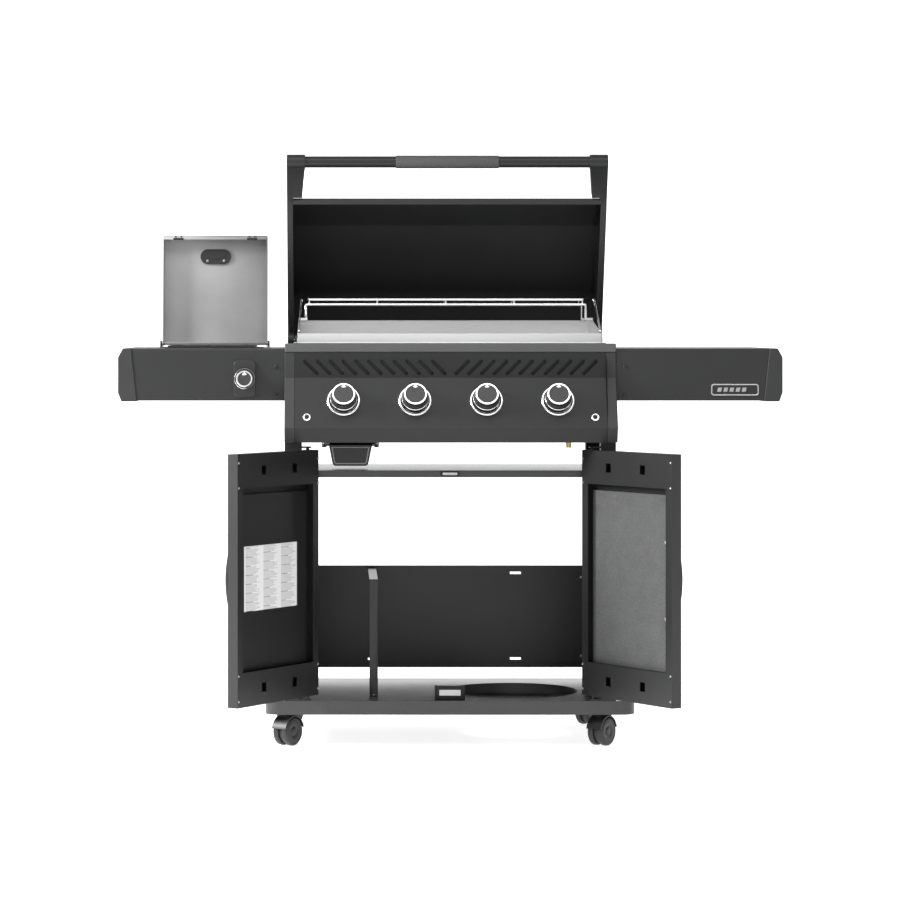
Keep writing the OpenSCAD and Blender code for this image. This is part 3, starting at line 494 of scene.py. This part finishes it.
stainless = brushed("brushed_stainless", 0.50, 0.85, (0.03, 1, 1), 0.22)
eased("griddle", stainless, 0.0009, 3)
chrome, wire, feed = surface("bright_chrome", 1.0)
haze = wire.noise(40, 3)
feed(Base_Color=haze.mix(grey(0.70), grey(0.88)), Roughness=haze * 0.12 + 0.14)
eased("warming_rack", chrome, 0)
tray_low, tray_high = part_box("griddle")
rim_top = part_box("front_rim")[1][2]
for side, name in ((-1, "left"), (1, "right")):
    stay = bmesh.new()
    foot = Vector((side * 0.371, tray_low[1] + 0.034, rim_top + 0.030))
    head = Vector((side * 0.366, tray_low[1] + 0.164, rim_top + 0.106))
    along = (head - foot).normalized()
    flat = Matrix((Vector((side, 0, 0)).cross(along), along, (side, 0, 0))).transposed()
    reach = (head - foot).length / MM
    prism(stay, Matrix.Translation(foot) @ flat.to_4x4(),
          rounded_box(-4, 4, -4, reach + 4, 3.9), -1.5, 1.5)
    for end in (0, reach):
        spot = Matrix.Translation(foot + along * end * MM) @ flat.to_4x4()
        lathe(stay, spot @ Matrix.Diagonal((1, 1, -1, 1)),
              [(0, 1), (3.4, 1), (3.4, 2.6), (2.6, 3.4), (0, 3.6)], 16)
    finish("tray_stay_" + name, stay, chrome, "root", "stainless", width=0.0004)
lip = bmesh.new()
tube(lip, [Vector((x, tray_low[1] + 0.0016, rim_top + 0.0008))
           for x in (tray_low[0] + 0.022, 0, tray_high[0] - 0.022)], 1.8)
finish("griddle_rolled_lip", lip, stainless, "root", "stainless", angle=50)

# ---- Control panel, rim and end castings ----
# The panel is folded from one sheet, with two rows of slanted vent slots, between two cast
# ends that are screwed to the posts. The rim is a square tube painted a lighter grey.
panel_paint = powder_coat("panel_powder", 0.010)
cast_paint = powder_coat("cast_powder", 0.023, 0.4)
rim_paint = powder_coat("rim_powder", 0.058, 0.36)
eased("control_panel", panel_paint, 0.0012, 3, 15)
eased("front_rim", rim_paint, 0.003, 3)
for side in ("left", "right"):
    eased("end_cap_" + side, cast_paint, 0.004, 3, 15)
turn_axis = Vector(joints["knob_1_turn"]["axis"])
down_face = Vector((1, 0, 0)).cross(turn_axis)
down_face = down_face if down_face.z < 0 else -down_face
studs = bmesh.new()
dark_studs = bmesh.new()
for side in (-1, 1):
    seat = facing(Vector((side * 0.3505, 0, 0)) + Vector((0, *knob_places[0][1:]))
                  + down_face * 0.0445, turn_axis)
    lathe(studs, seat, [(5.4, -1), (9.4, -1), (9.4, 0.6), (8.4, 1.6), (6.6, 1.6), (5.4, 0.9),
                        (5.4, -1)], 36)
    lathe(dark_studs, seat, [(0, -1), (5.3, -1), (5.3, 0.4), (0, 0.9)], 24)
finish("panel_studs", studs, chrome, "root", "plated", angle=40)
finish("panel_stud_cores", dark_studs, rubber, "root", "black_plastic", angle=40)

# ---- Knobs ----
# Each knob is moulded in dark plastic with a fluted waist, a chromed ring round its face and
# another on its skirt. It stands off a chromed bezel; the black disc inside the bezel is painted shade.
knob_black = powder_coat("knob_black", 0.012, 0.32, 500, 0.00005, 0.5)
face_steel, wire, feed = surface("spun_face", 0.3)
spun = wire.noise(260, 3)
feed(Base_Color=spun.mix(grey(0.020), grey(0.065)), Roughness=spun * 0.15 + 0.38)
white_mark = powder_coat("white_mark", 0.85, 0.5, 800, 0.00003)


def knob(name, body, seat, grip_r):
    """A knob on seat, a frame on the panel's face, that replaces the node of its name."""
    skirt_r = grip_r + 5
    moulding = bmesh.new()
    lathe(moulding, seat, [
        (4.1, 34), (4.1, 10), (skirt_r - 1.4, 10), (skirt_r - 0.3, 10.8), (skirt_r - 0.3, 14),
        (skirt_r - 0.8, 17), (grip_r + 1, 17.6), (grip_r - 2.0, 19, 0.6),
        (grip_r - 2.6, 22, 1.4), (grip_r - 2.4, 30, 1.4), (grip_r - 1.0, 34, 0.8),
        (grip_r - 0.2, 36.5), (grip_r - 0.2, 39), (grip_r - 2.6, 39.2),
        (grip_r - 3.0, 38.8), (0, 38.8)], 144, 24)
    finish(name + "_moulding", moulding, knob_black, body, "knob_plastic", name, angle=40)
    rings = bmesh.new()
    for radius, wide, low, high in ((skirt_r, 2.4, 14.0, 16.6), (grip_r, 4.0, 37.0, 40)):
        lathe(rings, seat, [(radius - wide, low), (radius - 0.3, low), (radius, low + 0.4),
                            (radius, high - 0.7), (radius - 0.7, high),
                            (radius - wide + 0.5, high), (radius - wide, high - 0.6),
                            (radius - wide, low)], 72)
    finish(name + "_rings", rings, chrome, body, "plated", angle=40)
    disc = bmesh.new()
    lathe(disc, seat, [(grip_r - 3.0, 38.9), (grip_r - 3.4, 39.3), (grip_r * 0.5, 39.15),
                       (0, 39.1)], 64)
    finish(name + "_face", disc, face_steel, body, "knob_plastic", angle=40)
    mark = bmesh.new()
    tip = grip_r - 4.2
    prism(mark, seat, [(0, tip), (-3.2, tip - 2.6), (-5.8, tip - 5.4), (-2.4, tip - 6.4),
                       (0, tip - 6.8), (2.4, tip - 6.4), (5.8, tip - 5.4), (3.2, tip - 2.6)],
          38.9, 39.7)
    finish(name + "_mark", mark, white_mark, body, "plated", width=0.0002)


bezel_r = (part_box("knob_bezels")[1][0] - knob_places[3][0]) / MM
rims = bmesh.new()
shade_discs = bmesh.new()
main_grip_r = (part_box("knob_4")[1][0] - knob_places[3][0]) / MM - 5
for i, place in enumerate(knob_places, 1):
    seat = facing(place, turn_axis)
    lathe(rims, seat, [(bezel_r - 9, 0.1), (bezel_r, 0.1), (bezel_r, 1.2),
                       (bezel_r - 1.2, 3.2), (bezel_r - 3.2, 4), (bezel_r - 5.2, 3.7),
                       (bezel_r - 7.6, 2.2), (bezel_r - 9, 1), (bezel_r - 9, 0.1)], 96)
    # A black disc inside each bezel is painted shade for the hollow behind the knob.
    lathe(shade_discs, seat, [(8.2, 0.1), (bezel_r - 9, 0.1), (bezel_r - 9, 0.9),
                         (bezel_r - 14, 0.6), (8.2, 0.6), (8.2, 0.1)], 64)
    knob(f"knob_{i}", f"knob_{i}", seat, main_grip_r)
finish("bezel_rims", rims, chrome, "root", "plated", "knob_bezels", angle=40)
finish("bezel_shade_discs", shade_discs, knob_black, "root", "plated", angle=40)

# ---- Side shelves ----
# Each shelf is a folded pan with a cast cap at its outer end. The left one carries the side
# burner: an enamelled bowl and grate, and a valve behind a plate with a knob.
shelf_paint = powder_coat("shelf_powder", 0.016, 0.4)
shelf_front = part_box("shelf_right")[0][1]
shelf_low, shelf_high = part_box("shelf_right")
bolts = []
for side in ("left", "right"):
    pan = eased("shelf_" + side, shelf_paint, 0.001, 2)
    bent = bmesh.new()
    bent.from_mesh(pan.data)
    nose = [edge for edge in bent.edges
            if all(abs(v.co.z - shelf_high[2]) < 1e-5 and abs(v.co.y - shelf_front) < 1e-5
                   for v in edge.verts)]
    bmesh.ops.bevel(bent, geom=nose, offset=7 * MM, segments=6, profile=0.5, affect="EDGES")
    bent.to_mesh(pan.data)
    bent.free()
    smooth(pan, 0)
    eased(f"shelf_{side}_cap", cast_paint, 0.005, 3)
    x = shelf_low[0] + 0.0215
    x = -x if side == "left" else x
    bolts += [facing((x, shelf_front, z), (0, -1, 0))
              for z in (shelf_high[2] - 0.045, shelf_low[2] + 0.014)]
screw_heads("shelf_bolts", bolts, cast_paint, "root", "cast_paint", 5.5)
eased("side_burner", enamel, 0.0015)
eased("side_grate", enamel, 0.0015, 3)
side_turn = joints["side_knob_turn"]["pos_m"]
plate = bmesh.new()
plate_seat = facing((side_turn[0], shelf_front, side_turn[2]), (0, -1, 0))
prism(plate, plate_seat, rounded_box(-27, 27, -45, 45, 12, 8), 0.1, 4)
finish("side_knob_plate", plate, knob_black, "root", "plated", "side_valve", width=0.0016,
       segments=3)
body_of_valve = bmesh.new()
lathe(body_of_valve, facing((side_turn[0], shelf_front + 0.002, side_turn[2]), (0, 1, 0)),
      [(4.1, 0), (12, 0), (12, 20), (9, 22), (9, 46), (7, 48), (0, 48)], 32)
finish("side_valve_body", body_of_valve, brass, "root", "brass_fit", angle=40)
knob("side_knob", "side_knob", facing(side_turn, (0, -1, 0)),
     (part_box("side_knob")[1][0] - side_turn[0]) / MM - 5)

# The badge is a blank plate with a bright frame, pinned to the right shelf's face.
badge_seat = facing((shelf_high[0] - 0.0850, shelf_front, shelf_low[2] + 0.027), (0, -1, 0))
badge = bmesh.new()
outer = rounded_box(-58, 58, -14, 14, 6)
inner = rounded_box(-55.4, 55.4, -11.4, 11.4, 4)
loops = [[badge.verts.new(badge_seat @ (Vector((x, y, z)) * MM)) for x, y in outline]
         for outline, z in ((outer, 0.1), (outer, 1.6), (inner, 1.6), (inner, 0.1))]
for low_loop, high_loop in zip(loops, loops[1:] + loops[:1]):
    for k in range(len(outer)):
        n = (k + 1) % len(outer)
        badge.faces.new((low_loop[k], low_loop[n], high_loop[n], high_loop[k]))
finish("badge_frame", badge, chrome, "root", "plated", width=0.0003)
field = bmesh.new()
prism(field, badge_seat, inner, 0.1, 0.7)
finish("badge_field", field, black_paint, "root", "black_paint", width=0.0002)
bars = bmesh.new()
for k in range(5):
    x = -38 + 15 * k
    prism(bars, badge_seat, [(x - 5.5, -5), (x + 4, -5), (x + 6.5, 5), (x - 3, 5)], 0.6, 1.2)
finish("badge_bars", bars, zinc, "root", "plated", width=0.0002)

# ---- Lid ----
# The lid is a folded skin with a hemmed lip between two cast ends, whose arms hold a tube
# handle with a soft sleeve. It turns on two bolts, and a thermometer sits in its front.
lid_paint = powder_coat("lid_paint", 0.017, 0.5, shine=0.25)
lid_cast = powder_coat("lid_cast_powder", 0.012, 0.4)
eased("lid_skin", lid_paint, 0.0005)
for side in ("left", "right"):
    eased("lid_end_" + side, lid_cast, 0.0025, 3)
eased("lid_pivots", zinc, 0.0006)
handle_paint = powder_coat("handle_powder", 0.009, 0.36)
eased("lid_handle", handle_paint, 0, angle=40)
hinge = joints["lid_hinge"]
opened = (Matrix.Translation(Vector(hinge["pos_m"]))
          @ Matrix.Rotation(math.radians(-hinge["range_deg"][1]), 4, "X")
          @ Matrix.Translation(-Vector(hinge["pos_m"])))
grip_low, grip_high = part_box("lid_grip")
grip_middle = Vector(((grip_low[0] + grip_high[0]) / 2, (grip_low[1] + grip_high[1]) / 2,
                      (grip_low[2] + grip_high[2]) / 2))
half_grip = (grip_high[0] - grip_low[0]) / 2 / MM
sleeve_r = (grip_high[2] - grip_low[2]) / 2 / MM
sleeve = bmesh.new()
foam = powder_coat("grip_rubber", 0.056, 0.65, 420, 0.0004, 0.2)
lathe(sleeve, facing(grip_middle, (1, 0, 0)),
      [(sleeve_r - 1.9, -half_grip), (sleeve_r - 0.9, -half_grip),
       (sleeve_r - 0.2, -half_grip + 0.8), (sleeve_r, -half_grip + 2.2),
       (sleeve_r, half_grip - 2.2), (sleeve_r - 0.2, half_grip - 0.8),
       (sleeve_r - 0.9, half_grip), (sleeve_r - 1.9, half_grip)], 48)
finish("grip_sleeve", sleeve, foam, "lid", "grip_rubber", "lid_grip", angle=50)

# ---- Lid thermometer ----
# A steel case with a bright bezel on the lid's front slope. Behind its glass are a pale dial
# with a ring of tick marks and a black pointer, which rests at the cold end.
eased("lid_gauge", chrome, 0.001, 3)
gauge_foot = Vector(hinge["pos_m"]) + Vector((0, -0.278, 0.178))
slope = Vector((0, 0.092, 0.060))
dial_seat = opened @ facing(gauge_foot, (0, -slope.z, slope.y), slope)
dial_paint = powder_coat("dial_white", 0.62, 0.5, 600, 0.00003)
dial = bmesh.new()
lathe(dial, dial_seat, [(32.6, 14.05), (32.4, 14.5), (0, 14.5)], 64)
finish("gauge_dial", dial, dial_paint, "lid", "plated", angle=40)
ticks = bmesh.new()
for k in range(25):
    turn = Matrix.Rotation(math.radians(135 - k * 11.25), 4, "Z")
    start = 23 if k % 4 == 0 else 26
    prism(ticks, dial_seat @ turn, [(-0.5, start), (0.5, start), (0.5, 30), (-0.5, 30)],
          14.4, 14.7)
needle_turn = Matrix.Rotation(math.radians(135), 4, "Z")
prism(ticks, dial_seat @ needle_turn, [(-1.6, -7), (1.6, -7), (0.5, 24), (-0.5, 24)], 14.9,
      15.3)
lathe(ticks, dial_seat, [(3, 14.4), (3, 15.6), (2, 16), (0, 16)], 20)
finish("gauge_marks", ticks, black_paint, "lid", "black_paint", angle=40)
glass, wire, feed = surface("gauge_glass", 0.0, 0.5)
glass.node_tree.nodes["Principled BSDF"].inputs["Transmission Weight"].default_value = 1.0
feed(Roughness=wire.noise(30, 2) * 0.03 + 0.01)
pane = bmesh.new()
lathe(pane, dial_seat, [(0, 16.2), (32.8, 16.2), (32.8, 16.8), (0, 17.0)], 64)
finish("gauge_pane", pane, glass, "lid", "plated", angle=40)

# ---- Side burner lid ----
# A folded pan of satin zinc-coated steel that hinges up behind the burner. It has a flanged
# front edge with two rubber buffers, and its handle is bolted through an oval plate.
satin, wire, feed = surface("satin_zinc", 0.6, 0.4)
flow = wire.noise(7, 3)
fine = wire.noise(900, 2)
# The lid's inside is painted lighter towards its left end and darker to the right: a painted light gradient.
painted_light_left = 1.0 - wire.node("ShaderNodeSeparateXYZ", Vector=wire.node("ShaderNodeTexCoord"))
feed(Base_Color=(flow * 0.35 + fine * 0.2 + painted_light_left * 0.45).mix(grey(0.08), grey(0.56)),
     Roughness=fine * 0.12 + 0.42, Normal=wire.bump(0.2, 0.00006, fine))
eased("side_lid", satin, 0.0012, 3)
eased("side_lid_handle", moulded, 0.002, 3)
side_hinge = joints["side_lid_hinge"]
side_open = (Matrix.Translation(Vector(side_hinge["pos_m"]))
             @ Matrix.Rotation(math.radians(-side_hinge["range_deg"][1]), 4, "X"))
lid_low, lid_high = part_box("side_lid")
half_lid = (lid_high[0] - lid_low[0]) / 2 / MM
lid_deep = 278
flange = bmesh.new()
prism(flange, side_open, rounded_box(-half_lid + 0.3, half_lid - 0.3, 0.3 - lid_deep,
                                     10 - lid_deep, 1), -4, -2.4)
finish("side_lid_flange", flange, satin, "side_lid", "galvanised", width=0.0005)
buffers = bmesh.new()
for side in (-1, 1):
    prism(buffers, side_open, rounded_box(side * 94 - 13, side * 94 + 13, 6 - lid_deep,
                                          11.5 - lid_deep, 1.5), -6.4, -3.8)
    for peg in (-7, 7):
        lathe(buffers, side_open @ Matrix.Translation(Vector((side * 94 + peg, 2.5 - lid_deep,
                                                               -4)) * MM),
              [(2.2, 0.6), (2.2, -1.6), (1.4, -2.2), (0, -2.2)], 12)
finish("side_lid_buffers", buffers, rubber, "side_lid", "black_plastic", width=0.0006)
cover = bmesh.new()
oval = [(27 * math.cos(math.tau * k / 40), -233 + 12 * math.sin(math.tau * k / 40))
        for k in range(40)]
prism(cover, side_open, oval, 31.4, 33.2)
finish("handle_cover", cover, moulded, "side_lid", "black_plastic", width=0.0006, segments=3)
screw_heads("handle_screws",
            [side_open @ Matrix.Translation(Vector((side * 21, -217, 33)) * MM)
             @ Matrix.Rotation(math.pi, 4, "X") for side in (-1, 1)],
            zinc, "side_lid", "galvanised", 3.5)

rod = bmesh.new()
pin_line = Vector(side_hinge["pos_m"])
tube(rod, [pin_line + Vector((x * MM, 0, 0)) for x in (6 - half_lid, 0, half_lid - 6)], 2.6, 16)
finish("side_lid_rod", rod, zinc, "side_lid", "galvanised", angle=50)

# ---- Doors ----
# Each door is a folded pan with its back open between two punched stiffening strips, and an
# inner board slid in behind its stiles. A bowed flat handle is welded to its outer face.
door_paint = powder_coat("door_powder", 0.010, 0.34, shine=0.5)
right_hinge = joints["door_right_hinge"]
pin = Vector(right_hinge["pos_m"])
swung = (Matrix.Translation((pin.x, pin.y, 0))
         @ Matrix.Rotation(math.radians(right_hinge["range_deg"][1]), 4, "Z"))
door_low, door_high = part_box("door_right")
floor_z, top_z = door_low[2] / MM, door_high[2] / MM
free_x, tail_x, back_y = -348, 14, 23
strip_h = 82
board, wire, feed = surface("speckled_board", 0.0, 0.35)
fleck = wire.noise(520, 3)
blotch = wire.noise(25, 3)
feed(Base_Color=(fleck * 0.85 + blotch * 0.15).steps((0.34, 0.0), (0.66, 1.0)).mix(
         grey(0.040, -0.01), grey(0.105, -0.01)),
     Roughness=fleck * 0.2 + 0.45, Normal=wire.bump(0.3, 0.0002, fleck))
for side, name in ((1, "right"), (-1, "left")):
    seat = Matrix.Diagonal((side, 1, 1, 1)) @ swung
    body = "door_" + name
    eased(body, door_paint, 0.0013)
    eased("door_handle_" + name, door_paint, 0.0016, 3)
    upright = seat @ Matrix.Rotation(math.radians(90), 4, "X") @ Matrix.Diagonal((1, 1, -1, 1))
    inner = bmesh.new()
    prism(inner, upright, rounded_box(free_x + 26, -4, floor_z + 80, top_z - strip_h - 16, 2),
          1, 3)
    finish("door_board_" + name, inner, board if side > 0 else door_paint, body,
           "charcoal_paint", width=0.0005)
    spots = [facing(seat @ (Vector((x, back_y, z)) * MM), seat.to_3x3() @ Vector((0, 1, 0)))
             for x in (free_x + 5, tail_x - 3)
             for z in (top_z - 20.5, top_z - 80, floor_z + 75.6, floor_z + 15.5)]
    screw_heads("door_screws_" + name, spots, zinc, body, "galvanised", 2.9)
hooks = bmesh.new()
for z in (328, 510):
    tube(hooks, [swung @ (Vector((free_x + 27 + dx, back_y - 20 + dy, z + dz)) * MM)
                 for dx, dy, dz in ((0, 0, 0), (1, 8, 0), (3, 12, 1), (7, 13, 5),
                                    (8, 12, 10))], 1.6, 8)
finish("door_hooks", hooks, zinc, "door_right", "galvanised", angle=50)

# The sheet inside the left door is a blank guide: three columns of plain grey rules.
paper, wire, feed = surface("printed_sheet", 0.0, 0.3)
spot = wire.node("ShaderNodeTexCoord", out=0)
across = wire.node("ShaderNodeSeparateXYZ", out=0, Vector=spot) * 3
up = wire.node("ShaderNodeSeparateXYZ", out=2, Vector=spot) * 58
column = across.math("FRACT", across)
row = up.math("FLOOR", up) + across.math("FLOOR", across) * 77
length = wire.node("ShaderNodeTexWhiteNoise", {"noise_dimensions": "1D"}, W=row)
block = row * 0.125
bold = block.math("LESS_THAN", block.math("FRACT", block), 0.12)
stroke = up.math("FRACT", up)
ink = (column.math("GREATER_THAN", column, 0.09)
       * column.math("LESS_THAN", column, length * 0.28 + 0.64 - bold * 0.3)
       * stroke.math("LESS_THAN", stroke, 0.52))
feed(Base_Color=(ink * 0.42 + ink * bold * 0.5).mix(grey(0.70), grey(0.05)),
     Roughness=length * 0.1 + 0.5)
sheet = bmesh.new()
left_up = (Matrix.Diagonal((-1, 1, 1, 1)) @ swung @ Matrix.Rotation(math.radians(90), 4, "X")
           @ Matrix.Diagonal((1, 1, -1, 1)))
prism(sheet, left_up, rounded_box(-290, -55, 349.5, 504.5, 2), 3.1, 3.5)
finish("guide_sheet", sheet, paper, "door_left", "charcoal_paint")

# ---- Grease box ----
# A pressed steel box on two rails under the drain. Its front has a raised frame painted pale
# grey as a painted highlight along its rim, and it pulls out forwards.
eased("grease_box", black_paint, 0.0012, 3)
box_low, box_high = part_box("grease_box")
box_x = (box_low[0] + box_high[0]) / 2
box_h = (box_high[2] - box_low[2]) / MM
box_seat = facing((box_x, box_low[1], box_low[2]), (0, -1, 0))
# The frame's pale grey is a painted highlight: the light caught along the rim of the box's front.
highlight_paint = powder_coat("frame_painted_highlight", 0.16, 0.35)
outer = [(47, box_h - 5), (-47, box_h - 5), (-40.5, 9), (-36, 5), (36, 5), (40.5, 9)]
inner = [(43.5, box_h - 7.5), (-43.5, box_h - 7.5), (-37.5, 10.2), (-34.6, 7.6),
         (34.6, 7.6), (37.5, 10.2)]
front = bmesh.new()
loops = [[front.verts.new(box_seat @ (Vector((x, y, z)) * MM)) for x, y in outline]
         for outline, z in ((outer, 0.05), (outer, 1.8), (inner, 1.8), (inner, 0.05))]
for low_loop, high_loop in zip(loops, loops[1:] + loops[:1]):
    for k in range(len(outer)):
        n = (k + 1) % len(outer)
        front.faces.new((low_loop[k], low_loop[n], high_loop[n], high_loop[k]))
finish("grease_box_highlight_frame", front, highlight_paint, "grease_box", slot_of["grease_box"],
       width=0.0006)
